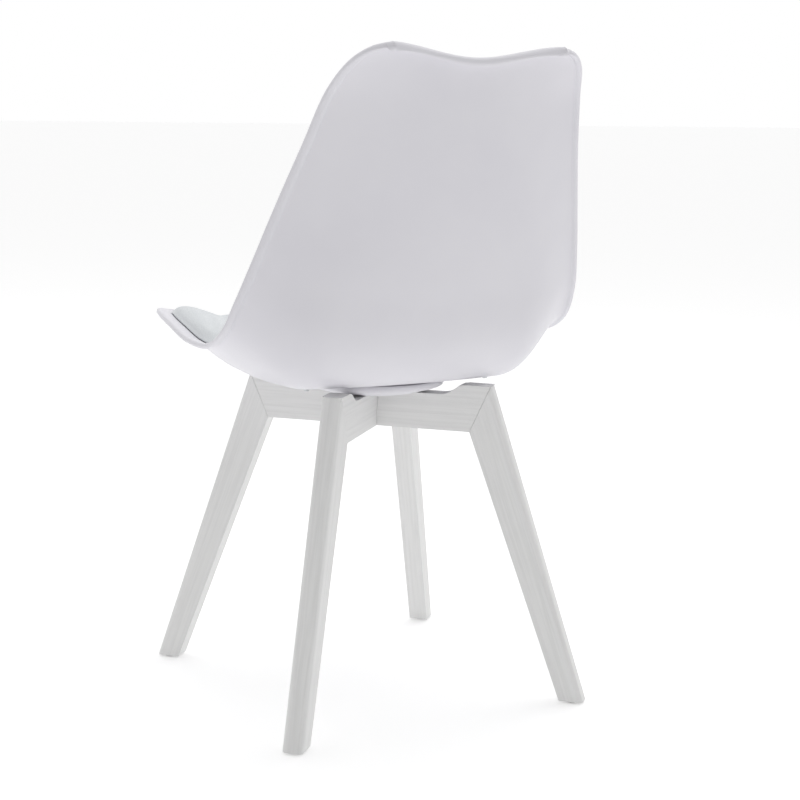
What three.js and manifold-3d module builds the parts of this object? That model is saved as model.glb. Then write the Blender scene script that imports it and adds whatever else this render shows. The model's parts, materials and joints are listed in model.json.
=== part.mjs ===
// Dining chair: a moulded shell on a crossed timber base, with a padded seat cushion.
// Millimetres, +Z up, front towards -Y, the sitter's left towards +X. The floor is z = 0.
import * as THREE from "three";
import { mergeVertices } from "three/addons/utils/BufferGeometryUtils.js";
import Module from "manifold-3d";

const wasm = await Module();
wasm.setup();

// ---- driving dimensions ----
const fitGap = 0.3; // clearance between pieces that touch
const hair = 0.15; // half of that gap, taken from each side of a glued joint

const railBottom = 343;
const railHeight = 46;
const railTop = railBottom + railHeight;
const timberThickness = 26;
const shoulder = 13.5; // how far the legs' tops stand above the rails' middles
const legTop = railTop + shoulder;
const footInner = 263; // radii from the crossing, along a rail
const footOuter = 294;
const kneeInner = 135;
const kneeOuter = 161;
const outerRound = 7;
const glideHeight = 2;
const glideRadius = 10;
const glideFloor = 0.9; // what is left of the glide under its nail
const padFlatRadius = 66;
const padRadius = 94;
const padDrop = 9; // how far the shell's mounting pad stands below its rim

const shellWidth = 488;
const shellThickness = 4;
const beadSide = 6; // thickness of the shell at its edge, down the sides
const beadTop = 13; // and along the rolled top edge
const shellRows = 40;
const shellColumns = 26;

const boltSpot = 48; // radius of the four seat bolts
const boltRadius = 3;
const boltHeadRadius = 5.2;
const boltHeadHeight = 4;
const washerRadius = 7;
const washerThickness = 1.5;
const counterboreDepth = 9;
const counterboreRadius = 8;
const insertRadius = 4.8;
const insertLength = 9;
const dowelRadius = 4;
const dowelLength = 28;
const nailRadius = 1.1;
const nailLength = 16;
const roundSegments = 14;

const cushionHeight = 44;
const coverThickness = 1.6;
const boardThickness = 3;
const cushionLift = 0.6; // cushion board above the shell
const cushionRows = 18;
const cushionColumns = 16;
const screwRadius = 1.8;
const screwHeadRadius = 4;
const screwHeadHeight = 2.2;

// ---- the shell's guide lines ----
// Stations from the front edge, over the seat and up the back. Each holds the middle line's y and z,
// then the edge's x, y and z.
const stations = [
  [-258, 430, 158, -249, 466],
  [-250, 429, 187, -238, 472],
  [-236, 427, 207, -215, 476],
  [-205, 423, 224, -170, 478],
  [-135, 413, 237, -100, 473],
  [-50, 408, 243, -28, 463],
  [40, 408, 244, 40, 466],
  [108, 417, 243, 80, 488],
  [150, 458, 236, 104, 526],
  [170, 528, 223, 123, 574],
  [188, 608, 206, 144, 634],
  [207, 695, 185, 171, 706],
  [219, 750, 168, 197, 768],
  [226, 779, 153, 222, 800],
  [231, 795, 136, 238, 814],
  [235, 803, 113, 247, 820],
];
const lastStation = stations.length - 1;
// The stations were set out for a shell of this width, on rails with their tops at this height.
const stationWidth = 488;
const stationRailTop = 389;
const widen = shellWidth / stationWidth;
const raise = railTop - stationRailTop;
const middleLine = new THREE.CatmullRomCurve3(
  stations.map(([y, z]) => new THREE.Vector3(0, y, z + raise)),
  false,
  "centripetal",
);
const edgeLine = new THREE.CatmullRomCurve3(
  stations.map(([, , x, y, z]) => new THREE.Vector3(x * widen, y, z + raise)),
  false,
  "centripetal",
);

const mix = (a, b, share) => a + (b - a) * share;
const clamp01 = (x) => Math.min(1, Math.max(0, x));
const smooth = (x) => {
  const c = clamp01(x);
  return c * c * (3 - 2 * c);
};

// How far a point across the seat has risen from the middle line to the edge: flat, steep, then a wing.
const bowlRise = (across) =>
  0.1 * across ** 2 + 0.9 * smooth((across - 0.54) / 0.46) ** 1.1;
const sheetRise = (across) => across ** 2.2;

// The shell's inner surface. across runs from -1 to 1, along from 0 at the front edge to 1 at the top.
function innerSurface(across, along) {
  const middle = middleLine.getPoint(along);
  const edge = edgeLine.getPoint(along);
  const station = along * lastStation;
  const bowl = smooth((station - 0.4) / 2.4) * (1 - smooth((station - 6.3) / 4));
  const crest = smooth((station - 12) / 3);
  const side = Math.abs(across);
  const rise = mix(sheetRise(side), bowlRise(side), bowl);
  return new THREE.Vector3(
    edge.x * across,
    mix(middle.y, edge.y, rise),
    mix(middle.z, edge.z, mix(rise, smooth(side), crest)),
  );
}

// The unit normal of the inner surface, towards the sitter.
function innerNormal(across, along, step = 1e-3) {
  const a0 = Math.max(0, along - step);
  const a1 = Math.min(1, along + step);
  const c0 = Math.max(-1, across - step);
  const c1 = Math.min(1, across + step);
  const alongWay = innerSurface(across, a1).sub(innerSurface(across, a0));
  const acrossWay = innerSurface(c1, along).sub(innerSurface(c0, along));
  return acrossWay.cross(alongWay).normalize();
}

// A closed solid between two offsets from the inner surface, over a grid of [across, along] pairs.
// A larger evenness averages the offset's direction over more of the surface.
function sheetSolid(rows, columns, place, low, high, evenness = 1e-3) {
  const positions = [];
  const index = [];
  for (const offset of [low, high])
    for (let i = 0; i <= rows; i++)
      for (let j = 0; j <= columns; j++) {
        const [across, along] = place(i / rows, j / columns);
        const point = innerSurface(across, along);
        const height = offset(i / rows, j / columns, across, along);
        const outward = innerNormal(across, along, evenness);
        positions.push(...point.addScaledVector(outward, height));
      }
  const layer = (rows + 1) * (columns + 1);
  const at = (k, i, j) => k * layer + i * (columns + 1) + j;
  const quad = (a, b, c, d) => index.push(a, b, c, a, c, d);
  for (let i = 0; i < rows; i++)
    for (let j = 0; j < columns; j++) {
      quad(at(1, i, j), at(1, i, j + 1), at(1, i + 1, j + 1), at(1, i + 1, j));
      quad(at(0, i, j), at(0, i + 1, j), at(0, i + 1, j + 1), at(0, i, j + 1));
    }
  for (let i = 0; i < rows; i++) {
    quad(at(0, i, 0), at(1, i, 0), at(1, i + 1, 0), at(0, i + 1, 0));
    quad(at(0, i, columns), at(0, i + 1, columns), at(1, i + 1, columns), at(1, i, columns));
  }
  for (let j = 0; j < columns; j++) {
    quad(at(0, 0, j), at(0, 0, j + 1), at(1, 0, j + 1), at(1, 0, j));
    quad(at(0, rows, j), at(1, rows, j), at(1, rows, j + 1), at(0, rows, j + 1));
  }
  return new THREE.BufferGeometry()
    .setAttribute("position", new THREE.Float32BufferAttribute(positions, 3))
    .setIndex(index);
}

// ---- joining and cutting ----
function toSolid(geometry) {
  const bare = (geometry.index ? geometry.toNonIndexed() : geometry.clone())
    .deleteAttribute("normal")
    .deleteAttribute("uv");
  const merged = mergeVertices(bare, 1e-3);
  return new wasm.Manifold(
    new wasm.Mesh({
      numProp: 3,
      vertProperties: merged.attributes.position.array,
      triVerts: new Uint32Array(merged.index.array),
    }),
  );
}
function toGeometry(solid) {
  const mesh = solid.getMesh();
  return new THREE.BufferGeometry()
    .setAttribute("position", new THREE.BufferAttribute(mesh.vertProperties, 3))
    .setIndex(new THREE.BufferAttribute(mesh.triVerts, 1));
}
const cut = (solid, ...tools) => tools.reduce((s, t) => s.subtract(toSolid(t)), solid);

// A round solid about +Z, from a profile of [radius, z] pairs that starts and ends on the axis.
const turned = (profile) =>
  new THREE.LatheGeometry(
    profile.map(([radius, z]) => new THREE.Vector2(radius, z)),
    roundSegments,
  ).rotateX(Math.PI / 2);
const rod = (radius, z0, z1) => turned([[0, z0], [radius, z0], [radius, z1], [0, z1]]);
const tube = (inner, outer, z0, z1) =>
  turned([[inner, z0], [outer, z0], [outer, z1], [inner, z1], [inner, z0]]);
const block = (x0, x1, y0, y1, z0, z1) =>
  new THREE.BoxGeometry(x1 - x0, y1 - y0, z1 - z0).translate(
    (x0 + x1) / 2,
    (y0 + y1) / 2,
    (z0 + z1) / 2,
  );

// ---- materials ----
const finish = (color, roughness, metalness = 0) =>
  new THREE.MeshStandardMaterial({ color, roughness, metalness });
const shellPlastic = finish(0xe9e8ec, 0.42);
const whiteLeather = finish(0xf1f3f4, 0.5);
const foam = finish(0xe8dfb8, 0.95);
const boardPlastic = finish(0x2c2c2e, 0.6);
const paintedBeech = finish(0xdededd, 0.55);
const rawBeech = finish(0xd8b98a, 0.7);
const zincSteel = finish(0xb9bcc0, 0.35, 1);
const glidePlastic = finish(0xd2d2d0, 0.5);

const chair = new THREE.Group();
function add(name, geometry, material, parent = chair) {
  const mesh = new THREE.Mesh(geometry, material);
  mesh.name = name;
  parent.add(mesh);
  return mesh;
}

// ---- shell ----
const edgeSpacing = (u) => 0.5 - 0.5 * Math.cos(Math.PI * u);
const endsDense = (u) => mix(u, edgeSpacing(u), 0.6);
const shellPlace = (u, v) => [2 * mix(v, edgeSpacing(v), 0.75) - 1, endsDense(u)];

// The outer skin follows the inner one and thickens into a bead at the edges.
function beadDepth(u, v, across, along) {
  const width = edgeLine.getPoint(along).x;
  const fromSide = (1 - Math.abs(across)) * width;
  const fromTop = (1 - along) * 560;
  const fromFront = along * 560;
  const side = (beadSide - shellThickness) * (1 - smooth(fromSide / 14));
  const top = (beadTop - shellThickness) * (1 - smooth(fromTop / 20));
  const front = (beadSide - shellThickness) * (1 - smooth(fromFront / 14));
  return -(shellThickness + Math.max(side, top, front));
}
const shellTop = () => 0;

function mountingPad() {
  const base = railTop + fitGap;
  const tall = turned([
    [0, base],
    [padFlatRadius, base],
    [padRadius, base + padDrop],
    [padRadius, base + 60],
    [0, base + 60],
  ]);
  const above = sheetSolid(24, 16, shellPlace, () => -shellThickness / 2, () => 90);
  return toSolid(tall).subtract(toSolid(above));
}
const boltPlaces = [-45, 45, 135, 225].map((degrees) => {
  const angle = THREE.MathUtils.degToRad(degrees);
  return { degrees, x: boltSpot * Math.cos(angle), y: boltSpot * Math.sin(angle) };
});
const insertBase = railTop + fitGap;
const insertTop = insertBase + insertLength;
// Four screws hold the cushion from below, outside the mounting pad.
const screwPlaces = [
  [0.52, 4.35],
  [-0.52, 4.35],
  [0.52, 6.45],
  [-0.52, 6.45],
].map(([across, station]) => ({ across, along: station / lastStation }));
function screwFrame({ across, along }) {
  const point = innerSurface(across, along);
  const turn = new THREE.Quaternion().setFromUnitVectors(
    new THREE.Vector3(0, 0, 1),
    innerNormal(across, along),
  );
  return new THREE.Matrix4().compose(point, turn, new THREE.Vector3(1, 1, 1));
}

function seatShell() {
  const sheet = sheetSolid(shellRows, shellColumns, shellPlace, beadDepth, shellTop);
  const holes = boltPlaces.map(({ x, y }) =>
    rod(insertRadius + fitGap, insertBase - 5, insertTop + fitGap).translate(x, y, 0),
  );
  const screwHoles = screwPlaces.map((place) =>
    rod(screwRadius + fitGap, -12, 8).applyMatrix4(screwFrame(place)),
  );
  return cut(toSolid(sheet).add(mountingPad()), ...holes, ...screwHoles);
}
add("seat_shell", toGeometry(seatShell()), shellPlastic);

// ---- cushion ----
// Its outline is a rounded four-sided shape on the seat, inside the shell's edge.
const cushionFront = 0.85 / lastStation;
const cushionBack = 7.9 / lastStation;
const cushionWidth = 0.9; // share of the shell's width
const within = (inset, share) => mix(inset, 1 - inset, share);
function cushionPlace(inset) {
  return (u, v) => {
    const lengthwise = within(inset, edgeSpacing(u));
    const narrowing = 1 - 0.3 * Math.abs(2 * lengthwise - 1) ** 6;
    const side = 2 * within(inset, edgeSpacing(v)) - 1;
    return [side * cushionWidth * narrowing, mix(cushionFront, cushionBack, lengthwise)];
  };
}
// How full the cushion is, from 0 at its outline to 1, over its length and its width.
function fullness(lengthwise, widthwise) {
  const end = Math.abs(2 * lengthwise - 1);
  const side = Math.abs(2 * widthwise - 1);
  const body = Math.sqrt(Math.max(0, (1 - side ** 4) * (1 - end ** 6)));
  const towardsBack = 1 - 0.5 * smooth((lengthwise - 0.45) / 0.55);
  const towardsFront = 1 - 0.42 * (1 - smooth(lengthwise / 0.35));
  return body * towardsBack * towardsFront;
}
const boardTop = cushionLift + boardThickness;
const piping = 5; // height of the cushion's edge above the shell
const foamInset = 0.03; // shares of the cushion's outline
const insetStep = 0.01;
const overShell = sheetSolid(
  shellRows,
  shellColumns,
  shellPlace,
  () => -shellThickness,
  () => fitGap,
);
const cushionEvenness = 0.05;
function cushionLayer(inset, low, high) {
  const over = (height) => (u, v) =>
    height(within(inset, edgeSpacing(u)), within(inset, edgeSpacing(v)));
  const place = cushionPlace(inset);
  return toSolid(
    sheetSolid(cushionRows, cushionColumns, place, over(low), over(high), cushionEvenness),
  );
}
// The height of the cushion's outer skin above the shell, and of the space under it.
const skinHeight = (lengthwise, widthwise) =>
  piping + (cushionHeight - piping) * fullness(lengthwise, widthwise);
const underSkin = (...spot) => skinHeight(...spot) - coverThickness;
function cushionCover() {
  const outside = cushionLayer(0, () => cushionLift, skinHeight);
  const inside = cushionLayer(foamInset, () => -2, underSkin);
  return cut(outside.subtract(inside), overShell);
}
add("cushion_cover", toGeometry(cushionCover()), whiteLeather);
const foamTop = (...spot) => Math.max(boardTop + 1, underSkin(...spot) - 2.4);
add(
  "cushion_foam",
  toGeometry(cushionLayer(foamInset + insetStep, () => boardTop + fitGap, foamTop)),
  foam,
);
const board = cut(cushionLayer(foamInset + insetStep, () => cushionLift, () => boardTop), overShell);
const boardHoles = screwPlaces.map((place) =>
  rod(screwRadius + fitGap, -3, boardThickness).applyMatrix4(screwFrame(place)),
);
add("cushion_board", toGeometry(cut(board, ...boardHoles)), boardPlastic);
screwPlaces.forEach((place, i) => {
  const under = -shellThickness - fitGap;
  const screw = turned([
    [0, under - screwHeadHeight],
    [screwHeadRadius * 0.7, under - screwHeadHeight],
    [screwHeadRadius, under],
    [screwRadius, under],
    [screwRadius, cushionLift + boardThickness - 1.4],
    [0, cushionLift + boardThickness - 0.9],
  ]);
  add(`cushion_screw_${i + 1}`, screw.applyMatrix4(screwFrame(place)), zincSteel);
});

// ---- timber base ----
// Every leg and rail is drawn with its rail along +X, then turned to its diagonal.
const legSlope = (kneeOuter - footOuter) / legTop;
const innerSlope = (kneeInner - footInner) / railBottom;

// One level outline of a leg: square inner corners, rounded outer ones.
function legOutline(inner, outer) {
  const half = timberThickness / 2;
  const points = [new THREE.Vector2(inner, half), new THREE.Vector2(inner, -half)];
  const corner = (sign, from) => {
    for (let k = 0; k <= 4; k++) {
      const angle = from + (k * Math.PI) / 8;
      points.push(
        new THREE.Vector2(
          outer - outerRound + outerRound * Math.cos(angle),
          sign * (half - outerRound) + outerRound * Math.sin(angle),
        ),
      );
    }
  };
  corner(-1, -Math.PI / 2);
  corner(1, 0);
  return points;
}
function legBlank() {
  const low = glideHeight + fitGap;
  const high = legTop + 30;
  const at = (z) => legOutline(footInner + innerSlope * z, footOuter + legSlope * z);
  const rings = [at(low), at(high)];
  const count = rings[0].length;
  const positions = [];
  rings.forEach((ring, k) => ring.forEach((p) => positions.push(p.x, p.y, k ? high : low)));
  const index = [];
  for (let i = 0; i < count; i++) {
    const j = (i + 1) % count;
    index.push(i, j, count + j, i, count + j, count + i);
  }
  for (let i = 1; i < count - 1; i++) {
    index.push(0, i + 1, i);
    index.push(count, count + i, count + i + 1);
  }
  return new THREE.BufferGeometry()
    .setAttribute("position", new THREE.Float32BufferAttribute(positions, 3))
    .setIndex(index);
}
// The mitre runs from the knee's inner corner up to the outer corner of the leg's top.
const mitre = { r0: kneeInner, z0: railBottom, r1: kneeOuter, z1: legTop };
const mitreAngle = Math.atan2(mitre.z1 - mitre.z0, mitre.r1 - mitre.r0);
const mitreLength = Math.hypot(mitre.z1 - mitre.z0, mitre.r1 - mitre.r0);
// A frame with +X along the mitre and +Z out of the leg, into the rail.
const mitreFrame = new THREE.Matrix4()
  .makeTranslation(mitre.r0, 0, mitre.z0)
  .multiply(new THREE.Matrix4().makeRotationY(-mitreAngle));
const dowelPlaces = [0.34, 0.66].map((share) => share * mitreLength);
const dowelHole = (along) =>
  rod(dowelRadius + fitGap, -dowelLength / 2 - 1, dowelLength / 2 + 1)
    .translate(along, 0, 0)
    .applyMatrix4(mitreFrame);
const footCentre = (footInner + footOuter) / 2 - 1;
const nailBore = rod(nailRadius + fitGap, 0, glideHeight + nailLength + 1).translate(
  footCentre,
  0,
  0,
);
function legSolid() {
  const beyondMitre = block(-200, 300, -40, 40, -hair, 400).applyMatrix4(mitreFrame);
  const aboveTop = block(0, 400, -40, 40, legTop, legTop + 60);
  return cut(toSolid(legBlank()), beyondMitre, aboveTop, ...dowelPlaces.map(dowelHole), nailBore);
}

const notchInner = padRadius + 3;
const notchOuter = padRadius + 34;
function railShape() {
  const top = legTop;
  const s = new THREE.Shape();
  s.moveTo(-mitre.r0, mitre.z0);
  s.lineTo(mitre.r0, mitre.z0);
  s.lineTo(mitre.r1, mitre.z1);
  s.lineTo(notchOuter, top);
  s.bezierCurveTo(notchOuter - 14, top, notchInner + 14, railTop, notchInner, railTop);
  s.lineTo(-notchInner, railTop);
  s.bezierCurveTo(-notchInner - 14, railTop, -notchOuter + 14, top, -notchOuter, top);
  s.lineTo(-mitre.r1, mitre.z1);
  s.closePath();
  return s;
}
function railSolid(lapLow, lapHigh) {
  const half = timberThickness / 2;
  const bar = new THREE.ExtrudeGeometry(railShape(), {
    depth: timberThickness,
    bevelEnabled: false,
    curveSegments: 6,
  })
    .translate(0, 0, -half)
    .rotateX(Math.PI / 2);
  const lap = block(-half - fitGap, half + fitGap, -half - 1, half + 1, lapLow, lapHigh);
  const trim = block(-200, 300, -40, 40, -50, hair).applyMatrix4(mitreFrame);
  const mirrored = new THREE.Matrix4().makeRotationZ(Math.PI);
  const boltCuts = [boltSpot, -boltSpot].flatMap((x) => [
    rod(boltRadius + fitGap, railBottom - 2, railTop + 2).translate(x, 0, 0),
    rod(counterboreRadius, railBottom - 2, railBottom + counterboreDepth).translate(x, 0, 0),
  ]);
  const dowels = dowelPlaces.map(dowelHole);
  return cut(
    toSolid(bar),
    lap,
    trim,
    trim.clone().applyMatrix4(mirrored),
    ...boltCuts,
    rod(boltRadius + fitGap, railBottom - 2, railTop + 2),
    rod(counterboreRadius, railBottom - 2, railBottom + counterboreDepth),
    rod(counterboreRadius, railTop - 6, railTop + 2),
    ...dowels,
    ...dowels.map((d) => d.clone().applyMatrix4(mirrored)),
  );
}

function seatBolt(top) {
  const seat = railBottom + counterboreDepth - fitGap - washerThickness - fitGap;
  return turned([
    [0, seat - boltHeadHeight],
    [boltHeadRadius * 0.8, seat - boltHeadHeight],
    [boltHeadRadius, seat - boltHeadHeight * 0.5],
    [boltHeadRadius, seat],
    [boltRadius, seat],
    [boltRadius, top],
    [0, top],
  ]);
}
function washer() {
  const top = railBottom + counterboreDepth - fitGap;
  return tube(boltRadius + fitGap, washerRadius, top - washerThickness, top);
}
// A moulded foot glide: a domed disc with a socket for its nail's head.
function glide() {
  return turned([
    [0, 0],
    [glideRadius - 1, 0],
    [glideRadius, glideHeight / 2],
    [glideRadius, glideHeight],
    [nailRadius + fitGap, glideHeight],
    [nailRadius + fitGap, glideFloor],
    [0, glideFloor],
  ]);
}
function nail() {
  const base = glideFloor + fitGap;
  const tip = glideHeight + nailLength;
  return turned([[0, base], [nailRadius, base], [nailRadius, tip - 3], [0, tip]]);
}

const legs = [
  ["front_left", -45],
  ["rear_left", 45],
  ["rear_right", 135],
  ["front_right", 225],
];
const legGeometry = toGeometry(legSolid());
for (const [name, degrees] of legs) {
  const corner = new THREE.Group();
  corner.rotation.z = THREE.MathUtils.degToRad(degrees);
  chair.add(corner);
  add(`leg_${name}`, legGeometry, paintedBeech, corner);
  dowelPlaces.forEach((along, k) => {
    const dowel = rod(dowelRadius, -dowelLength / 2, dowelLength / 2);
    dowel.translate(along, 0, 0).applyMatrix4(mitreFrame);
    add(`dowel_${name}_${k + 1}`, dowel, rawBeech, corner);
  });
  add(`glide_${name}`, glide().translate(footCentre, 0, 0), glidePlastic, corner);
  add(`glide_nail_${name}`, nail().translate(footCentre, 0, 0), zincSteel, corner);
  add(`seat_bolt_${name}`, seatBolt(insertTop - 1).translate(boltSpot, 0, 0), zincSteel, corner);
  add(`seat_washer_${name}`, washer().translate(boltSpot, 0, 0), zincSteel, corner);
  add(
    `threaded_insert_${name}`,
    tube(boltRadius + fitGap, insertRadius, insertBase, insertTop).translate(boltSpot, 0, 0),
    zincSteel,
    corner,
  );
}
const lapLevel = (railBottom + railTop) / 2;
add("rail_front_left_to_rear_right", toGeometry(railSolid(lapLevel - hair, legTop)), paintedBeech)
  .rotation.z = THREE.MathUtils.degToRad(-45);
add("rail_rear_left_to_front_right", toGeometry(railSolid(0, lapLevel + hair)), paintedBeech)
  .rotation.z = THREE.MathUtils.degToRad(45);
add("centre_bolt", seatBolt(railTop - 1), zincSteel);
add("centre_washer", washer(), zincSteel);
add("centre_nut", tube(boltRadius + fitGap, washerRadius, railTop - 5.7, railTop - 0.7), zincSteel);

// The origin is on the floor, under the middle of the chair's box.
chair.updateMatrixWorld(true);
const box = new THREE.Box3().setFromObject(chair);
const middle = box.getCenter(new THREE.Vector3());
chair.position.set(-middle.x, -middle.y, -box.min.z);

export default chair;
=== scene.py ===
"""Dining chair with a moulded shell, a padded seat and a crossed timber base.

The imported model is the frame. The shell and the cushion are rebuilt here at full smoothness.
The timber, hardware and glides keep their solids and get procedural finishes.
Metres, +Z up, front towards -Y.
"""

import json
import logging
import math
from dataclasses import dataclass, field
from enum import Enum
from typing import Any, Sequence

import bmesh
import bpy
import numpy as np
from mathutils import Matrix, Vector

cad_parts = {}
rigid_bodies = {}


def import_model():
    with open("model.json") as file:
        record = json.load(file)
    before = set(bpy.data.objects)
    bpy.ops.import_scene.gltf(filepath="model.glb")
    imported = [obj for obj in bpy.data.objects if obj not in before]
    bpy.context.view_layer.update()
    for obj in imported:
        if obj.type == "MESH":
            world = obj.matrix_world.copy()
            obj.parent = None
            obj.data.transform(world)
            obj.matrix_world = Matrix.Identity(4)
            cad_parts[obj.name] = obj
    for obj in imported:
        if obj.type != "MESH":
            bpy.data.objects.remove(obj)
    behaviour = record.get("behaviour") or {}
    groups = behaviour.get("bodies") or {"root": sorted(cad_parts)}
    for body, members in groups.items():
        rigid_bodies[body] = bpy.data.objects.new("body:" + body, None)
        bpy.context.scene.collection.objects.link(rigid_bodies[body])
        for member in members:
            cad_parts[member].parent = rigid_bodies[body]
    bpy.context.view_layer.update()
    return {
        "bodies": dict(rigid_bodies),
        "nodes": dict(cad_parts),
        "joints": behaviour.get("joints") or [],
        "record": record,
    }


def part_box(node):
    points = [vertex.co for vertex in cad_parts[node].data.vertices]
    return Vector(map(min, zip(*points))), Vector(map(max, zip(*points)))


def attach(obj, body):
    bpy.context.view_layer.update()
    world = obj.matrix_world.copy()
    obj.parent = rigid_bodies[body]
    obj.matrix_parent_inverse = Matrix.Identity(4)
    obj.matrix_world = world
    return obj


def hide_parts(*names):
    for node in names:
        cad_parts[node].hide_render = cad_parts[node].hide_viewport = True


log = logging.getLogger("chair")
MM = 0.001
FINE_STEP = 1e-3  # share of the surface used to find its slope

Numbers = float | np.ndarray
Faces = list[tuple[int, ...]]
Colour = tuple[float, float, float, float]
Place = tuple[float, float, float]


class Slot(str, Enum):
    """Names for the shell's and the cushion's material slots; nothing in the script uses them."""

    SHELL = "shell"
    CUSHION = "cushion"


def mix(a: Numbers, b: Numbers, share: Numbers) -> Numbers:
    """Returns the linear blend from a to b."""
    return a + (b - a) * share


def smooth(x: Numbers) -> Numbers:
    """Returns the smoothstep of x, held between 0 and 1."""
    c = np.clip(x, 0.0, 1.0)
    return c * c * (3 - 2 * c)


def end_spacing(u: Numbers) -> Numbers:
    """Returns shares that crowd towards 0 and 1."""
    return 0.5 - 0.5 * np.cos(np.pi * u)


# ---------------------------------------------------------------- shape


class GuideLine:
    """A centripetal Catmull-Rom curve through fixed points.

    Args:
        points: the points it passes through, in millimetres.
    """

    def __init__(self, points: Sequence[Sequence[float]]) -> None:
        """Adds an end point beyond each end, so the curve reaches the first and last points."""
        inner = np.asarray(points, float)
        first, last = 2 * inner[0] - inner[1], 2 * inner[-1] - inner[-2]
        self.points = np.vstack([first, inner, last])
        self.count = len(inner)

    def at(self, share: np.ndarray) -> np.ndarray:
        """Returns the curve's points.

        Args:
            share: from 0 to 1, evenly numbered by the fixed points.

        Returns:
            One point for each share.
        """
        place = np.clip(share, 0, 1) * (self.count - 1)
        start = np.minimum(place.astype(int), self.count - 2)
        t = (place - start)[..., None]
        p0, p1, p2, p3 = (self.points[start + k] for k in range(4))

        def knot(a: np.ndarray, b: np.ndarray) -> np.ndarray:
            """Returns the centripetal knot step between two points."""
            return np.sqrt(np.linalg.norm(b - a, axis=-1, keepdims=True))

        d0, d1, d2 = knot(p0, p1), knot(p1, p2), knot(p2, p3)
        t1 = ((p1 - p0) / d0 - (p2 - p0) / (d0 + d1) + (p2 - p1) / d1) * d1
        t2 = ((p2 - p1) / d1 - (p3 - p1) / (d1 + d2) + (p3 - p2) / d2) * d1
        c2 = -3 * p1 + 3 * p2 - 2 * t1 - t2
        c3 = 2 * p1 - 2 * p2 + t1 + t2
        return p1 + t1 * t + c2 * t**2 + c3 * t**3


@dataclass(frozen=True)
class ShellForm:
    """The shell's inner surface, in millimetres from the crossing of the rails.

    Each station holds the middle line's y and z, then the edge's x, y and z, front to top.
    """

    stations: tuple[tuple[float, ...], ...] = (
        (-258, 430, 158, -249, 466),
        (-250, 429, 187, -238, 472),
        (-236, 427, 207, -215, 476),
        (-205, 423, 224, -170, 478),
        (-135, 413, 237, -100, 473),
        (-50, 408, 243, -28, 463),
        (40, 408, 244, 40, 466),
        (108, 417, 243, 80, 488),
        (150, 458, 236, 104, 526),
        (170, 528, 223, 123, 574),
        (188, 608, 206, 144, 634),
        (207, 695, 185, 171, 706),
        (219, 750, 168, 197, 768),
        (226, 779, 153, 222, 800),
        (231, 795, 136, 238, 814),
        (235, 803, 113, 247, 820),
    )
    middle: GuideLine = field(init=False)
    edge: GuideLine = field(init=False)

    def __post_init__(self) -> None:
        """Draws the two guide lines through the stations."""
        middle = GuideLine([(0, y, z) for y, z, *_ in self.stations])
        object.__setattr__(self, "middle", middle)
        object.__setattr__(self, "edge", GuideLine([s[2:] for s in self.stations]))

    @property
    def last(self) -> int:
        """The last station's number."""
        return len(self.stations) - 1

    def point(self, across: np.ndarray, along: np.ndarray) -> np.ndarray:
        """Finds points on the surface.

        Args:
            across: from -1 to 1, edge to edge.
            along: from 0 at the front edge to 1 at the top.

        Returns:
            The points, in millimetres.
        """
        middle, edge = self.middle.at(along), self.edge.at(along)
        station = along * self.last
        bowl = smooth((station - 0.4) / 2.4) * (1 - smooth((station - 6.3) / 4))
        crest = smooth((station - 12) / 3)
        side = np.abs(across)
        hollow = 0.1 * side**2 + 0.9 * smooth((side - 0.54) / 0.46) ** 1.1
        rise = mix(side**2.2, hollow, bowl)
        lift = mix(rise, smooth(side), crest)
        return np.stack(
            [
                edge[..., 0] * across,
                mix(middle[..., 1], edge[..., 1], rise),
                mix(middle[..., 2], edge[..., 2], lift),
            ],
            axis=-1,
        )

    def tangents(
        self, across: np.ndarray, along: np.ndarray, step: float = FINE_STEP
    ) -> tuple[np.ndarray, np.ndarray]:
        """Finds unit vectors that lie in the surface.

        Args:
            across: from -1 to 1, edge to edge.
            along: from 0 to 1, front to top.
            step: how far to look to each side, as a share.

        Returns:
            The vectors across the surface, and those along it.
        """
        a0, a1 = np.maximum(0, along - step), np.minimum(1, along + step)
        c0, c1 = np.maximum(-1, across - step), np.minimum(1, across + step)
        lengthwise = self.point(across, a1) - self.point(across, a0)
        widthwise = self.point(c1, along) - self.point(c0, along)
        return unit(widthwise), unit(lengthwise)

    def normal(
        self, across: np.ndarray, along: np.ndarray, step: float = FINE_STEP
    ) -> np.ndarray:
        """Finds the unit normal towards the sitter.

        Args:
            across: from -1 to 1, edge to edge.
            along: from 0 to 1, front to top.
            step: how far to look to each side, as a share.

        Returns:
            The normals.
        """
        widthwise, lengthwise = self.tangents(across, along, step)
        return unit(np.cross(widthwise, lengthwise))


def unit(v: np.ndarray) -> np.ndarray:
    """Returns vectors scaled to length 1."""
    return v / np.maximum(np.linalg.norm(v, axis=-1, keepdims=True), 1e-12)


def border(rows: int, columns: int) -> list[tuple[int, int]]:
    """Lists a grid's border cells, once round.

    Args:
        rows: the number of quads from front to back.
        columns: the number of quads across.

    Returns:
        The cells as (row, column), counter-clockwise from the sitter's side.
    """
    front = [(0, j) for j in range(columns)]
    left = [(i, columns) for i in range(rows)]
    top = [(rows, j) for j in range(columns, 0, -1)]
    right = [(i, 0) for i in range(rows, 0, -1)]
    return front + left + top + right


def grid_faces(rows: int, columns: int, start: int, flip: bool) -> Faces:
    """Lists the quads of one grid of vertices.

    Args:
        rows: the number of quads from front to back.
        columns: the number of quads across.
        start: the number of the grid's first vertex.
        flip: whether the quads face the other way.

    Returns:
        The faces.
    """
    faces = []
    for i in range(rows):
        for j in range(columns):
            a = start + i * (columns + 1) + j
            quad = (a, a + 1, a + columns + 2, a + columns + 1)
            faces.append(quad[::-1] if flip else quad)
    return faces


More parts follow.
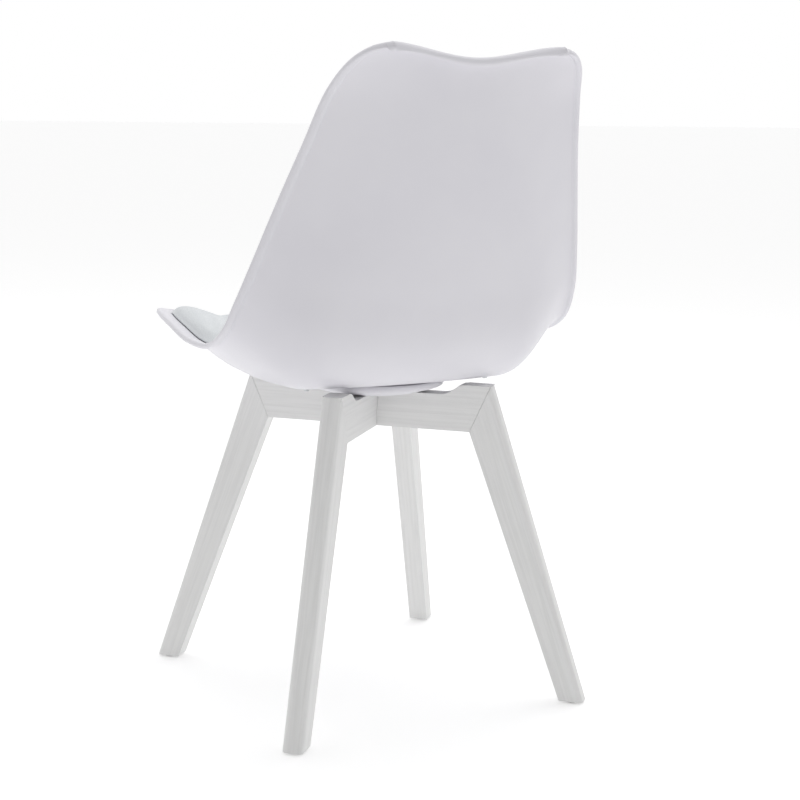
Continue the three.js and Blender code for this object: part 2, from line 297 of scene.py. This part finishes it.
def layered_solid(
    upper: np.ndarray, lower: np.ndarray, loops: Sequence[np.ndarray]
) -> tuple[np.ndarray, Faces]:
    """Closes two grids with loops of points round their borders.

    Args:
        upper: the grid of points on the sitter's side.
        lower: the grid underneath.
        loops: rings of points from upper's border to lower's, in border order.

    Returns:
        The vertices and the faces.
    """
    rows, columns = upper.shape[0] - 1, upper.shape[1] - 1
    size = (rows + 1) * (columns + 1)
    vertices = [upper.reshape(-1, 3), lower.reshape(-1, 3), *loops]
    faces = grid_faces(rows, columns, 0, False) + grid_faces(rows, columns, size, True)
    cells = [i * (columns + 1) + j for i, j in border(rows, columns)]
    rings = [cells]
    for k in range(len(loops)):
        rings.append([2 * size + k * len(cells) + n for n in range(len(cells))])
    rings.append([size + c for c in cells])
    for above, below in zip(rings, rings[1:]):
        for n in range(len(cells)):
            m = (n + 1) % len(cells)
            faces.append((above[m], above[n], below[n], below[m]))
    return np.vstack(vertices), faces


def new_mesh(name: str, vertices: np.ndarray, faces: Faces, shift: Vector) -> bpy.types.Object:
    """Makes a smooth-shaded object.

    Args:
        name: the piece's name.
        vertices: its points, in millimetres from the rails' crossing.
        faces: its faces.
        shift: where the crossing is, in metres.

    Returns:
        The object.
    """
    mesh = bpy.data.meshes.new(name)
    mesh.from_pydata((vertices * MM + np.array(shift)).tolist(), [], faces)
    mesh.validate()
    mesh.update()
    mesh.polygons.foreach_set("use_smooth", [True] * len(mesh.polygons))
    piece = bpy.data.objects.new(name, mesh)
    bpy.context.scene.collection.objects.link(piece)
    log.info("%s: %d vertices", name, len(mesh.vertices))
    return piece


# ---------------------------------------------------------------- node groups


class Group:
    """A shader node group under construction.

    Args:
        name: the group's name.
        inputs: float inputs as (name, default).
        outputs: outputs as (name, socket type).
    """

    def __init__(
        self,
        name: str,
        inputs: Sequence[tuple[str, float]],
        outputs: Sequence[tuple[str, str]],
    ) -> None:
        """Makes the empty group and its sockets."""
        self.tree = bpy.data.node_groups.new(name, "ShaderNodeTree")
        for label, default in inputs:
            socket = self.tree.interface.new_socket(
                label, in_out="INPUT", socket_type="NodeSocketFloat"
            )
            socket.default_value = default
        for label, kind in outputs:
            self.tree.interface.new_socket(label, in_out="OUTPUT", socket_type=kind)
        self.start = self.tree.nodes.new("NodeGroupInput")
        self.end = self.tree.nodes.new("NodeGroupOutput")

    def add(self, kind: str, links: dict | None = None, **values: Any) -> bpy.types.Node:
        """Adds a node; see add_node."""
        return add_node(self.tree, kind, links, **values)

    def out(self, label: str, socket: bpy.types.NodeSocket) -> None:
        """Links a socket to one of the group's outputs."""
        self.tree.links.new(socket, self.end.inputs[label])


def add_node(
    tree: bpy.types.NodeTree, kind: str, links: dict | None = None, **values: Any
) -> bpy.types.Node:
    """Adds a node to a tree.

    Args:
        tree: the node tree.
        kind: the node's type name, without "ShaderNode".
        links: input name or number to the socket that feeds it.
        values: attributes of the node, or default values of its inputs, with _ for spaces.

    Returns:
        The node.
    """
    node = tree.nodes.new("ShaderNode" + kind)
    inputs = {s.name.lower().replace(" ", "_"): s for s in reversed(node.inputs)}
    for key, value in values.items():
        if key in inputs and not hasattr(type(node), key):
            inputs[key].default_value = value
        else:
            setattr(node, key, value)
    for key, socket in (links or {}).items():
        tree.links.new(socket, node.inputs[key])
    return node


FLOAT, COLOUR, VECTOR = "NodeSocketFloat", "NodeSocketColor", "NodeSocketVector"


def edge_mask() -> bpy.types.NodeTree:
    """Builds the group that picks sharp outer edges for painted highlight and wear: 1 on sharp
    outer edges, broken up by noise.
    """
    g = Group("edge_mask", [("Amount", 1.0), ("Breakup", 60.0)], [("Mask", FLOAT)])
    geometry = g.add("NewGeometry")
    position = g.add("TexCoord")
    noise = g.add(
        "TexNoise",
        {"Vector": position.outputs["Object"], "Scale": g.start.outputs["Breakup"]},
        detail=4.0,
    )
    sharp = g.add(
        "MapRange",
        {"Value": geometry.outputs["Pointiness"]},
        from_min=0.52,
        from_max=0.6,
    )
    broken = g.add("Math", {0: sharp.outputs[0], 1: noise.outputs[0]}, operation="MULTIPLY")
    scaled = g.add(
        "Math", {0: broken.outputs[0], 1: g.start.outputs["Amount"]}, operation="MULTIPLY"
    )
    scaled.use_clamp = True
    g.out("Mask", scaled.outputs[0])
    return g.tree


def moulded_skin() -> bpy.types.NodeTree:
    """Builds the group for injection-moulded plastic: faint mottling and a fine spark texture."""
    g = Group(
        "moulded_skin",
        [("Texture size", 1400.0), ("Depth", 0.00006)],
        [("Mottle", FLOAT), ("Normal", VECTOR)],
    )
    position = g.add("TexCoord").outputs["Object"]
    broad = g.add("TexNoise", {"Vector": position}, scale=9.0, detail=3.0)
    fine = g.add(
        "TexNoise",
        {"Vector": position, "Scale": g.start.outputs["Texture size"]},
        detail=2.0,
    )
    bump = g.add(
        "Bump", {"Height": fine.outputs[0], "Distance": g.start.outputs["Depth"]}, strength=0.5
    )
    g.out("Mottle", broad.outputs[0])
    g.out("Normal", bump.outputs[0])
    return g.tree


def leather_grain() -> bpy.types.NodeTree:
    """Builds the group for coated leatherette: pebbled cells, pores and soft creases."""
    g = Group(
        "leather_grain",
        [("Cell size", 620.0), ("Depth", 0.00035)],
        [("Cells", FLOAT), ("Creases", FLOAT), ("Normal", VECTOR)],
    )
    position = g.add("TexCoord").outputs["Object"]
    warp = g.add("TexNoise", {"Vector": position}, scale=180.0, detail=2.0)
    bent = g.add(
        "MixRGB", {"Color1": position, "Color2": warp.outputs["Color"]}, blend_type="ADD"
    )
    bent.inputs[0].default_value = 0.004
    cells = g.add(
        "TexVoronoi",
        {"Vector": bent.outputs[0], "Scale": g.start.outputs["Cell size"]},
        feature="DISTANCE_TO_EDGE",
    )
    edges = g.add("MapRange", {"Value": cells.outputs["Distance"]}, from_max=0.25)
    creases = g.add("TexNoise", {"Vector": position}, scale=26.0, detail=5.0, distortion=1.2)
    height = g.add(
        "Math", {0: edges.outputs[0], 1: creases.outputs[0]}, operation="MULTIPLY_ADD"
    )
    height.inputs[2].default_value = 0.0
    bump = g.add(
        "Bump", {"Height": height.outputs[0], "Distance": g.start.outputs["Depth"]}, strength=0.4
    )
    g.out("Cells", edges.outputs[0])
    g.out("Creases", creases.outputs[0])
    g.out("Normal", bump.outputs[0])
    return g.tree


def timber_grain() -> bpy.types.NodeTree:
    """Builds the group for straight-grained beech: long streaks and flecks along one axis."""
    g = Group(
        "timber_grain",
        [("Slope", 0.0), ("Turn", 0.0), ("Depth", 0.00018)],
        [("Streaks", FLOAT), ("Flecks", FLOAT), ("Normal", VECTOR)],
    )
    position = g.add("TexCoord").outputs["Object"]
    angles = g.add(
        "CombineXYZ", {"Y": g.start.outputs["Slope"], "Z": g.start.outputs["Turn"]}
    )
    turned = g.add(
        "VectorRotate",
        {"Vector": position, "Rotation": angles.outputs[0]},
        rotation_type="EULER_XYZ",
        invert=True,
    )
    long = g.add(
        "Mapping", {"Vector": turned.outputs[0]}, vector_type="POINT", scale=(260.0, 260.0, 7.0)
    )
    short = g.add(
        "Mapping", {"Vector": turned.outputs[0]}, vector_type="POINT", scale=(900.0, 900.0, 90.0)
    )
    streaks = g.add(
        "TexNoise", {"Vector": long.outputs[0]}, scale=1.0, detail=6.0, distortion=0.4
    )
    flecks = g.add("TexNoise", {"Vector": short.outputs[0]}, scale=1.0, detail=2.0)
    spots = g.add("MapRange", {"Value": flecks.outputs[0]}, from_min=0.58, from_max=0.7)
    height = g.add(
        "Math", {0: streaks.outputs[0], 1: spots.outputs[0]}, operation="SUBTRACT"
    )
    bump = g.add(
        "Bump", {"Height": height.outputs[0], "Distance": g.start.outputs["Depth"]}, strength=0.5
    )
    g.out("Streaks", streaks.outputs[0])
    g.out("Flecks", spots.outputs[0])
    g.out("Normal", bump.outputs[0])
    return g.tree


# ---------------------------------------------------------------- finishes

def rgb(r: float, g: float, b: float) -> Colour:
    """Returns an opaque colour."""
    return (r, g, b, 1.0)


@dataclass(frozen=True)
class Finish:
    """One procedural finish: a base colour that shifts to a second one, and an edge colour that is
    a painted highlight on the shell, leather and painted timber, and wear on the other finishes.
    """

    name: str
    base: Colour
    second: Colour
    # Edge colour: a painted highlight where it lightens the shell, leather and painted timber;
    # wear on the other finishes.
    edge_highlight_and_wear: Colour
    roughness: tuple[float, float]
    group: str
    mask: str
    # How strongly the edge colour shows: painted highlight strength on the shell, leather and
    # painted timber, wear on the rest.
    edge_highlight_and_wear_amount: float = 0.4
    metallic: float = 0.0
    coat: float = 0.0
    spread: tuple[float, float] = (0.3, 0.7)
    settings: tuple[tuple[str, float], ...] = ()


class FinishShop:
    """Builds the shared node groups once, and materials from finishes."""

    def __init__(self) -> None:
        """Builds the groups."""
        self.groups = {
            "edge": edge_mask(),
            "moulded": moulded_skin(),
            "leather": leather_grain(),
            "timber": timber_grain(),
        }

    def make(self, finish: Finish, **settings: float) -> bpy.types.Material:
        """Builds a material.

        Args:
            finish: what it looks like.
            settings: values of the texture group's inputs, with _ for spaces.

        Returns:
            The material.
        """
        material = bpy.data.materials.new(finish.name)
        material.use_nodes = True
        tree = material.node_tree
        shader = tree.nodes["Principled BSDF"]
        texture = add_node(tree, "Group", node_tree=self.groups[finish.group])
        for label, value in {**dict(finish.settings), **settings}.items():
            texture.inputs[label.replace("_", " ").capitalize()].default_value = value
        edge = add_node(tree, "Group", node_tree=self.groups["edge"])
        edge.inputs["Amount"].default_value = finish.edge_highlight_and_wear_amount
        low, high = finish.spread
        spread = add_node(
            tree, "MapRange", {"Value": texture.outputs[finish.mask]}, from_min=low, from_max=high
        )
        body = add_node(tree, "MixRGB", {"Fac": spread.outputs[0]})
        body.inputs[1].default_value, body.inputs[2].default_value = finish.base, finish.second
        # Mixes the edge colour in on sharp outer edges: a painted highlight on the shell, leather
        # and painted timber, wear on the other finishes.
        edge_highlight_and_wear = add_node(tree, "MixRGB", {"Fac": edge.outputs[0], "Color1": body.outputs[0]})
        edge_highlight_and_wear.inputs[2].default_value = finish.edge_highlight_and_wear
        rough = add_node(
            tree,
            "MapRange",
            {"Value": spread.outputs[0]},
            to_min=finish.roughness[0],
            to_max=finish.roughness[1],
        )
        tree.links.new(edge_highlight_and_wear.outputs[0], shader.inputs["Base Color"])
        tree.links.new(rough.outputs[0], shader.inputs["Roughness"])
        tree.links.new(texture.outputs["Normal"], shader.inputs["Normal"])
        shader.inputs["Metallic"].default_value = finish.metallic
        shader.inputs["Coat Weight"].default_value = finish.coat
        return material


# Its lighter edge colour is a painted highlight on the shell's sharp edges and rolled rim.
SHELL = Finish(
    "shell_plastic",
    rgb(0.72, 0.71, 0.755),
    rgb(0.75, 0.74, 0.78),
    rgb(0.86, 0.86, 0.88),
    (0.38, 0.46),
    "moulded",
    "Mottle",
    edge_highlight_and_wear_amount=0.25,
)
# Its lighter edge colour is a painted highlight on the cushion's sharp edges.
LEATHER = Finish(
    "white_leatherette",
    rgb(0.60, 0.625, 0.645),
    rgb(0.74, 0.765, 0.78),
    rgb(0.8, 0.82, 0.83),
    (0.55, 0.42),
    "leather",
    "Cells",
    edge_highlight_and_wear_amount=0.1,
    spread=(0.0, 0.8),
)
# Its lighter edge colour is a painted highlight on the legs' and rails' sharp edges.
TIMBER = Finish(
    "painted_beech",
    rgb(0.74, 0.74, 0.735),
    rgb(0.80, 0.80, 0.795),
    rgb(0.86, 0.855, 0.845),
    (0.5, 0.62),
    "timber",
    "Streaks",
    edge_highlight_and_wear_amount=0.3,
    spread=(0.36, 0.6),
)
BARE_BEECH = Finish(
    "bare_beech",
    rgb(0.56, 0.4, 0.24),
    rgb(0.68, 0.52, 0.34),
    rgb(0.72, 0.58, 0.4),
    (0.6, 0.75),
    "timber",
    "Streaks",
)
STEEL = Finish(
    "zinc_steel",
    rgb(0.5, 0.51, 0.53),
    rgb(0.62, 0.63, 0.65),
    rgb(0.75, 0.76, 0.78),
    (0.28, 0.42),
    "moulded",
    "Mottle",
    metallic=1.0,
)
FOAM = Finish(
    "open_foam",
    rgb(0.72, 0.66, 0.42),
    rgb(0.82, 0.77, 0.56),
    rgb(0.86, 0.82, 0.62),
    (0.9, 1.0),
    "leather",
    "Cells",
    settings=(("Cell size", 900.0),),
)
BOARD = Finish(
    "black_board",
    rgb(0.02, 0.02, 0.022),
    rgb(0.04, 0.04, 0.042),
    rgb(0.12, 0.12, 0.12),
    (0.5, 0.65),
    "moulded",
    "Mottle",
)
GLIDE = Finish(
    "glide_nylon",
    rgb(0.45, 0.45, 0.44),
    rgb(0.55, 0.55, 0.54),
    rgb(0.3, 0.3, 0.3),
    (0.5, 0.6),
    "moulded",
    "Mottle",
)


# ---------------------------------------------------------------- pieces


@dataclass
class Shell:
    """The one-piece shell: seat, back, rolled edge and the round mounting pad under it."""

    form: ShellForm
    shift: Vector
    material: bpy.types.Material
    rows: int = 210
    columns: int = 130
    thickness: float = 4.0
    bead_side: float = 7.0
    bead_top: float = 12.0
    lip_middle: float = 15.0
    lip_side: float = 8.0
    length: float = 560.0
    pad_base: float = 389.3
    pad_flat_radius: float = 66.0
    pad_radius: float = 94.0
    pad_drop: float = 9.0
    pad_top: float = 406.0
    pad_around: int = 96
    loops: int = 7

    @staticmethod
    def step(past: np.ndarray) -> np.ndarray:
        """Returns 1 in the bead and 0 beyond it, from the millimetres past its end."""
        return 1 - smooth(past / 3.5)

    def depth(self, across: np.ndarray, along: np.ndarray) -> np.ndarray:
        """Finds the shell's thickness, which grows into a bead at the edges.

        Args:
            across: from -1 to 1, edge to edge.
            along: from 0 to 1, front to top.

        Returns:
            The thickness, in millimetres.
        """
        width = self.form.edge.at(along)[..., 0]
        bead, crest = self.bead_side - self.thickness, self.bead_top - self.thickness
        lip = mix(self.lip_middle, self.lip_side, smooth(np.abs(across)))
        side = bead * self.step((1 - np.abs(across)) * width - self.bead_side)
        top = crest * self.step((1 - along) * self.length - lip)
        front = bead * self.step(along * self.length - self.bead_side)
        return self.thickness + np.maximum(np.maximum(side, top), front)

    def sheet(self) -> tuple[np.ndarray, Faces]:
        """Returns the shell's vertices and faces, with a round edge all the way about."""
        u = np.linspace(0, 1, self.rows + 1)
        v = np.linspace(0, 1, self.columns + 1)
        lengthwise = mix(u, end_spacing(u), 0.6)
        along = mix(0.005, 0.991, lengthwise)[:, None] + np.zeros(self.columns + 1)
        width = self.form.edge.at(along)[..., 0]
        across = (2 * mix(v, end_spacing(v), 0.75) - 1) * (1 - 0.5 * self.bead_side / width)
        upper = self.form.point(across, along)
        depth = self.depth(across, along)[..., None]
        lower = upper - depth * self.form.normal(across, along)
        widthwise, forward = self.form.tangents(across, along)
        cells = border(self.rows, self.columns)
        outward = []
        for i, j in cells:
            out = np.zeros(3)
            if j in (0, self.columns):
                out += widthwise[i, j] * (1 if j else -1)
            if i in (0, self.rows):
                out += forward[i, j] * (1 if i else -1)
            outward.append(out / np.linalg.norm(out))
        a = np.array([upper[c] for c in cells])
        b = np.array([lower[c] for c in cells])
        middle, half = (a + b) / 2, (a - b) / 2
        reach = np.linalg.norm(half, axis=1, keepdims=True) * np.array(outward)
        turns = [math.pi * (k + 1) / (self.loops + 1) for k in range(self.loops)]
        rings = [middle + half * math.cos(t) + reach * math.sin(t) * 0.9 for t in turns]
        return layered_solid(upper, lower, rings)

    def pad(self, first: int) -> tuple[np.ndarray, Faces]:
        """Makes the mounting pad, a shallow dish turned about the middle.

        Args:
            first: the number of its first vertex in the whole mesh.

        Returns:
            The vertices and the faces.
        """
        base, rim = self.pad_base, self.pad_base + self.pad_drop
        profile = [
            (0.0, base),
            (self.pad_flat_radius - 2, base),
            (self.pad_flat_radius + 0.5, base + 0.5),
            (self.pad_radius - 3, rim - 1.2),
            (self.pad_radius - 0.8, rim),
            (self.pad_radius, rim + 2),
            (self.pad_radius, self.pad_top),
            (0.0, self.pad_top),
        ]
        around = self.pad_around
        vertices, faces = [], []
        for radius, z in profile:
            for k in range(around):
                angle = 2 * math.pi * k / around
                vertices.append((radius * math.cos(angle), radius * math.sin(angle), z))
        for ring in range(len(profile) - 1):
            for k in range(around):
                a, b = ring * around + k, ring * around + (k + 1) % around
                faces.append((first + a, first + a + around, first + b + around, first + b))
        return np.array(vertices), faces

    def build(self) -> bpy.types.Object:
        """Makes the piece."""
        sheet, faces = self.sheet()
        pad, pad_faces = self.pad(len(sheet))
        piece = new_mesh("moulded_shell", np.vstack([sheet, pad]), faces + pad_faces, self.shift)
        merge_close(piece)
        piece.data.materials.append(self.material)
        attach(piece, "root")
        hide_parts("seat_shell")
        return piece


def merge_close(piece: bpy.types.Object, distance: float = 1e-6) -> None:
    """Joins vertices that share a place, such as those at a turned solid's poles.

    Args:
        piece: the object to mend.
        distance: how close they lie, in metres.
    """
    work = bmesh.new()
    work.from_mesh(piece.data)
    bmesh.ops.remove_doubles(work, verts=work.verts, dist=distance)
    bmesh.ops.recalc_face_normals(work, faces=work.faces)
    work.to_mesh(piece.data)
    work.free()


@dataclass
class Cushion:
    """The padded seat cushion, inflated in its cover by a short cloth simulation."""

    form: ShellForm
    shift: Vector
    material: bpy.types.Material
    rows: int = 64
    columns: int = 60
    front: float = 0.85
    back: float = 7.9
    width: float = 0.9
    height: float = 43.0
    piping: float = 5.0
    lift: float = 0.8
    recess: float = 4.2
    recess_inset: float = 0.022
    evenness: float = 0.05
    edge_bulge: float = 1.6
    pressure: float = 4.0
    frames: int = 20
    most_move: float = 0.006

    def fullness(self, lengthwise: np.ndarray, widthwise: np.ndarray) -> np.ndarray:
        """Finds how full the cushion is.

        Args:
            lengthwise: from 0 at its front to 1 at its back.
            widthwise: from 0 to 1, side to side.

        Returns:
            0 at its outline, and up to 1 inside.
        """
        end, side = np.abs(2 * lengthwise - 1), np.abs(2 * widthwise - 1)
        body = np.sqrt(np.maximum(0, (1 - side**4) * (1 - end**6)))
        towards_back = 1 - 0.5 * smooth((lengthwise - 0.45) / 0.55)
        towards_front = 1 - 0.42 * (1 - smooth(lengthwise / 0.35))
        return body * towards_back * towards_front

    def solid(self) -> tuple[np.ndarray, Faces]:
        """Returns the closed cushion before it is inflated."""
        lengthwise = end_spacing(np.linspace(0, 1, self.rows + 1))[:, None]
        widthwise = end_spacing(np.linspace(0, 1, self.columns + 1))[None, :]
        lengthwise, widthwise = np.broadcast_arrays(lengthwise, widthwise)
        narrowing = 1 - 0.3 * np.abs(2 * lengthwise - 1) ** 6
        across = (2 * widthwise - 1) * self.width * narrowing
        along = mix(self.front, self.back, lengthwise) / self.form.last
        place = self.form.point(across, along)
        up = self.form.normal(across, along, self.evenness)
        full = self.fullness(lengthwise, widthwise)
        top = self.piping + (self.height - self.piping) * full
        end = np.minimum(lengthwise, 1 - lengthwise)
        side = np.minimum(widthwise, 1 - widthwise)
        inside = smooth((np.minimum(end, side) - self.recess_inset * 0.4) / self.recess_inset)
        under = mix(self.lift, self.recess, inside)
        upper, lower = place + up * top[..., None], place + up * under[..., None]
        return layered_solid(upper, lower, self.wall(upper, lower, place))

    def wall(
        self, upper: np.ndarray, lower: np.ndarray, place: np.ndarray
    ) -> list[np.ndarray]:
        """Makes the rings that round the cushion's edge.

        Args:
            upper: the grid of its top.
            lower: the grid of its underside.
            place: the grid of the shell beneath it.

        Returns:
            The rings, from the top down.
        """
        cells = border(self.rows, self.columns)
        centre = place.reshape(-1, 3).mean(0)
        a = np.array([upper[c] for c in cells])
        b = np.array([lower[c] for c in cells])
        outward = unit((a - centre) * np.array([1, 1, 0]))
        rings = []
        for share in (0.25, 0.5, 0.75):
            bulge = self.edge_bulge * math.sin(math.pi * share)
            rings.append(mix(a, b, share) + outward * bulge)
        return rings

    def inflate(self, piece: bpy.types.Object) -> None:
        """Swells the cover with cloth pressure, its underside held.

        The free cover would swell much further, so most_move sets how far it really goes.

        Args:
            piece: the cushion.
        """
        mesh = piece.data
        size = (self.rows + 1) * (self.columns + 1)
        before = np.empty(len(mesh.vertices) * 3)
        mesh.vertices.foreach_get("co", before)
        before = before.reshape(-1, 3)
        held = piece.vertex_groups.new(name="held")
        fixed = [c[0] * (self.columns + 1) + c[1] for c in border(self.rows, self.columns)]
        held.add(list(range(size, len(mesh.vertices))) + fixed, 1.0, "REPLACE")
        cloth = piece.modifiers.new("inflate", "CLOTH")
        cloth.settings.vertex_group_mass = held.name
        cloth.settings.use_pressure = True
        cloth.settings.uniform_pressure_force = self.pressure
        cloth.settings.effector_weights.gravity = 0
        cloth.settings.tension_stiffness = 40
        cloth.settings.compression_stiffness = 8
        cloth.settings.bending_stiffness = 0.6
        cloth.point_cache.frame_end = self.frames
        scene = bpy.context.scene
        for frame in range(1, self.frames + 1):
            scene.frame_set(frame)
        graph = bpy.context.evaluated_depsgraph_get()
        swollen = piece.evaluated_get(graph).to_mesh()
        after = np.empty(len(swollen.vertices) * 3)
        swollen.vertices.foreach_get("co", after)
        piece.evaluated_get(graph).to_mesh_clear()
        piece.modifiers.remove(cloth)
        move = after.reshape(-1, 3) - before
        distance = np.linalg.norm(move, axis=1, keepdims=True)
        move *= np.minimum(1, self.most_move / np.maximum(distance, 1e-9))
        mesh.vertices.foreach_set("co", (before + move).ravel())
        mesh.update()
        scene.frame_set(1)
        piece.vertex_groups.clear()
        log.info("cushion swelled by up to %.1f mm", distance.max() * 1000)

    def build(self) -> bpy.types.Object:
        """Makes the piece."""
        vertices, faces = self.solid()
        piece = new_mesh("seat_cushion", vertices, faces, self.shift)
        self.inflate(piece)
        piece.modifiers.new("smooth", "SUBSURF").render_levels = 1
        piece.data.materials.append(self.material)
        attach(piece, "root")
        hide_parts("cushion_cover", "cushion_foam")
        return piece


@dataclass
class TimberBase:
    """The legs, rails and their hardware keep their solids; this class finishes the legs and
    rails.
    """

    nodes: dict[str, bpy.types.Object]
    shop: FinishShop
    leg_slope: float = 0.345
    turns: tuple[tuple[str, float], ...] = (
        ("front_left", -45.0),
        ("rear_left", 45.0),
        ("rear_right", 135.0),
        ("front_right", 225.0),
    )

    def finish(self) -> None:
        """Gives each timber piece a material whose grain runs along it."""
        for name, degrees in self.turns:
            turn = math.radians(degrees)
            dress(
                self.nodes[f"leg_{name}"],
                self.shop.make(TIMBER, slope=-self.leg_slope, turn=turn),
            )
        for node, degrees in (
            ("rail_front_left_to_rear_right", -45.0),
            ("rail_rear_left_to_front_right", 45.0),
        ):
            rail = self.shop.make(TIMBER, slope=math.pi / 2, turn=math.radians(degrees))
            dress(self.nodes[node], rail)


def dress(piece: bpy.types.Object, material: bpy.types.Material) -> None:
    """Puts one material in all of a piece's slots.

    Args:
        piece: the object to dress.
        material: what it is made of.
    """
    if not piece.material_slots:
        piece.data.materials.append(material)
    for place in piece.material_slots:
        place.material = material
    log.info("%s gets %s", piece.name, material.name)


def finish_hardware(nodes: dict[str, bpy.types.Object], shop: FinishShop) -> None:
    """Gives the remaining solids their finishes, by the start of their names.

    Args:
        nodes: the frame's solids by name.
        shop: where the materials are built.
    """
    starts = {
        "dowel_": shop.make(BARE_BEECH),
        "glide_nail_": shop.make(STEEL),
        "glide_": shop.make(GLIDE),
        "cushion_board": shop.make(BOARD),
        "cushion_foam": shop.make(FOAM),
        "cushion_cover": shop.make(LEATHER),
        "seat_shell": shop.make(SHELL),
    }
    steel = shop.make(STEEL)
    for name, piece in nodes.items():
        if name.startswith(("leg_", "rail_")):
            continue
        material = next((m for start, m in starts.items() if name.startswith(start)), steel)
        dress(piece, material)


# ---------------------------------------------------------------- studio


@dataclass
class Studio:
    """A pale floor, a soft sky that is brightest past the chair, two panels and the camera."""

    shift: Vector
    eye: Place = (1040.8, 1943.2, 770.6)
    heading: float = -119.167
    tilt: float = 10.212
    roll: float = 1.192
    lens: float = 78.27
    sensor: float = 36.0
    floor_reach: float = 30.0

    def floor(self) -> None:
        """Makes the floor."""
        size = self.floor_reach
        mesh = bpy.data.meshes.new("floor")
        corners = [(-size, -size, 0), (size, -size, 0), (size, size, 0), (-size, size, 0)]
        mesh.from_pydata(corners, [], [(0, 1, 2, 3)])
        floor = bpy.data.objects.new("floor", mesh)
        bpy.context.scene.collection.objects.link(floor)
        material = bpy.data.materials.new("floor_white")
        material.use_nodes = True
        shader = material.node_tree.nodes["Principled BSDF"]
        noise = add_node(material.node_tree, "TexNoise", scale=2.0)
        tone = add_node(material.node_tree, "MixRGB", {"Fac": noise.outputs[0]})
        tone.inputs[1].default_value, tone.inputs[2].default_value = (
            rgb(0.93, 0.93, 0.93),
            rgb(0.95, 0.95, 0.95),
        )
        material.node_tree.links.new(tone.outputs[0], shader.inputs["Base Color"])
        shader.inputs["Roughness"].default_value = 0.9
        shader.inputs["Specular IOR Level"].default_value = 0.1
        shader.inputs["Emission Color"].default_value = rgb(1.0, 1.0, 1.0)
        shader.inputs["Emission Strength"].default_value = 0.26
        mesh.materials.append(material)

    def sky(self) -> None:
        """Lights the scene with a sky that is white past the chair and dimmer on the near side."""
        world = bpy.data.worlds.new("sky")
        bpy.context.scene.world = world
        world.use_nodes = True
        tree = world.node_tree
        direction = add_node(tree, "TexCoord").outputs["Generated"]
        heading = math.radians(self.heading)
        away = add_node(tree, "VectorMath", {0: direction}, operation="DOT_PRODUCT")
        away.inputs[1].default_value = (math.cos(heading), math.sin(heading), 0.25)
        ramp = add_node(
            tree,
            "MapRange",
            {"Value": away.outputs["Value"]},
            from_min=-0.6,
            from_max=0.75,
            to_min=0.4,
            to_max=1.0,
        )
        background = tree.nodes["Background"]
        background.inputs["Color"].default_value = rgb(1.0, 1.0, 1.0)
        tree.links.new(ramp.outputs[0], background.inputs["Strength"])

    def panel(self, name: str, place: Place, aim: Place, size: float, power: float) -> None:
        """Adds a square area light.

        Args:
            name: the light's name.
            place: where it stands, in metres.
            aim: the point it faces.
            size: its side, in metres.
            power: its power, in watts.
        """
        data = bpy.data.lights.new(name, "AREA")
        data.shape, data.size, data.energy = "SQUARE", size, power
        light = bpy.data.objects.new(name, data)
        light.location = place
        facing = Vector(aim) - Vector(place)
        light.rotation_euler = facing.to_track_quat("-Z", "Y").to_euler()
        bpy.context.scene.collection.objects.link(light)

    def camera(self) -> None:
        """Places the camera."""
        y, p, r = (math.radians(a) for a in (self.heading, self.tilt, self.roll))
        ahead = Vector(
            (math.cos(p) * math.cos(y), math.cos(p) * math.sin(y), -math.sin(p))
        )
        right = Vector((math.sin(y), -math.cos(y), 0))
        up = right.cross(ahead)
        right_rolled = math.cos(r) * right + math.sin(r) * up
        up_rolled = math.cos(r) * up - math.sin(r) * right
        turn = Matrix((right_rolled, up_rolled, -ahead)).transposed()
        data = bpy.data.cameras.new("camera")
        data.lens, data.sensor_width = self.lens, self.sensor
        camera = bpy.data.objects.new("camera", data)
        place = Vector(self.eye) * MM + self.shift
        camera.matrix_world = Matrix.Translation(place) @ turn.to_4x4()
        bpy.context.scene.collection.objects.link(camera)
        bpy.context.scene.camera = camera

    def build(self) -> None:
        """Sets up the whole studio."""
        self.floor()
        self.sky()
        self.panel("overhead", (-0.3, -0.4, 3.2), (0, 0, 0.4), 3.2, 26)
        self.panel("window", (-2.6, -0.6, 1.8), (0, 0, 0.6), 1.8, 6)
        self.camera()
        bpy.context.scene.view_settings.view_transform = "Standard"


def crossing(nodes: dict[str, bpy.types.Object]) -> Vector:
    """Finds where the rails cross on the floor: the middle of the four legs' boxes.

    Args:
        nodes: the frame's solids by name.

    Returns:
        The place, in metres.
    """
    legs = [name for name in nodes if name.startswith("leg_")]
    corners = [Vector(corner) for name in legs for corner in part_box(name)]
    low = [min(c[k] for c in corners) for k in range(2)]
    high = [max(c[k] for c in corners) for k in range(2)]
    return Vector(((low[0] + high[0]) / 2, (low[1] + high[1]) / 2, 0))


def main() -> None:
    """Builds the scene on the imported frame."""
    logging.basicConfig(level=logging.INFO, format="%(name)s: %(message)s")
    for thing in list(bpy.data.objects):
        bpy.data.objects.remove(thing)
    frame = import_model()
    nodes = frame["nodes"]
    shift = crossing(nodes)
    shop = FinishShop()
    form = ShellForm()
    Studio(shift).build()
    Shell(form, shift, shop.make(SHELL)).build()
    Cushion(form, shift, shop.make(LEATHER)).build()
    TimberBase(nodes, shop).finish()
    finish_hardware(nodes, shop)


if __name__ == "__main__":
    main()
